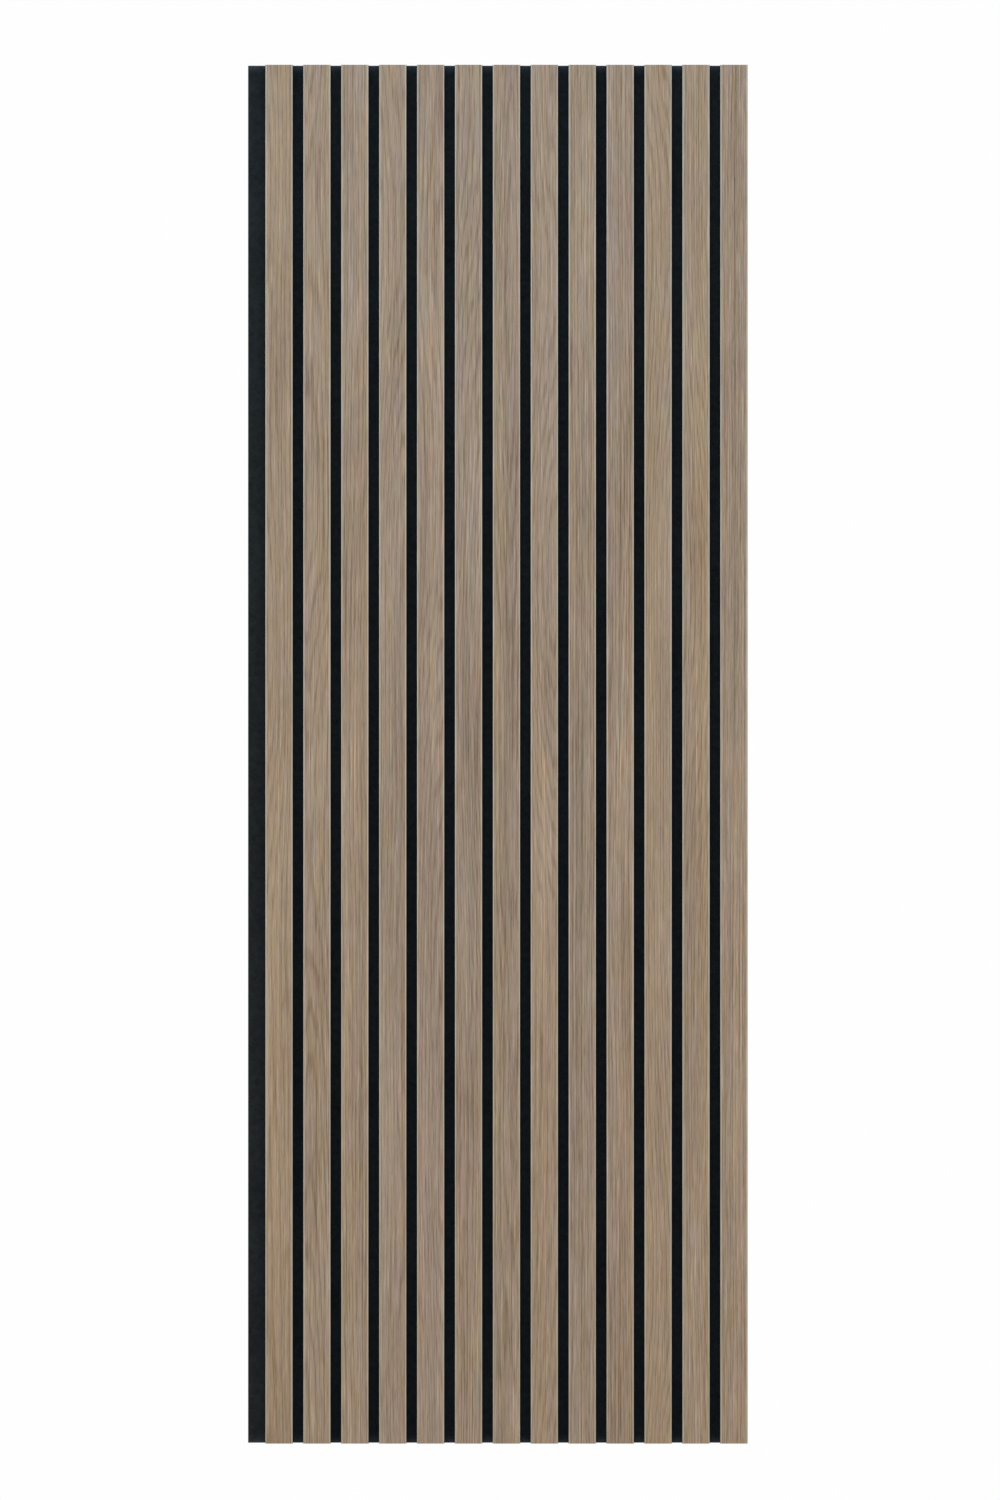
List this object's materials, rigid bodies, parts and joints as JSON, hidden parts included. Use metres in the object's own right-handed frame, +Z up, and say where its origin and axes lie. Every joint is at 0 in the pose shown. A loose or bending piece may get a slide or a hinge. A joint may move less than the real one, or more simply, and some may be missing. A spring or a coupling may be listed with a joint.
{
  "type": "acoustic slat wall panel",
  "caption": "Upright wall panel of narrow wood-faced slats, evenly spaced on a black felt board that absorbs sound and sticks out at one side as a joining strip.",
  "frame": {"origin": "middle of the felt board's back face, the face that meets the wall", "axes": "+Z up along the slats, +X to the right as the panel is seen from the front, +Y out of the back face into the wall"},
  "size_m": [0.6, 0.021, 1.655],
  "materials": {
    "felt": "matt needled felt board",
    "slat_wood": "matt lacquered veneer on black MDF",
    "staple_steel": "galvanised wire"
  },
  "bodies": {
    "root": {"felt_board": "felt", "slat_01": "slat_wood", "slat_02": "slat_wood", "slat_03": "slat_wood", "slat_04": "slat_wood", "slat_05": "slat_wood", "slat_06": "slat_wood", "slat_07": "slat_wood", "slat_08": "slat_wood", "slat_09": "slat_wood", "slat_10": "slat_wood", "slat_11": "slat_wood", "slat_12": "slat_wood", "slat_13": "slat_wood", "back_staples": "staple_steel"}
  },
  "joints": []
}
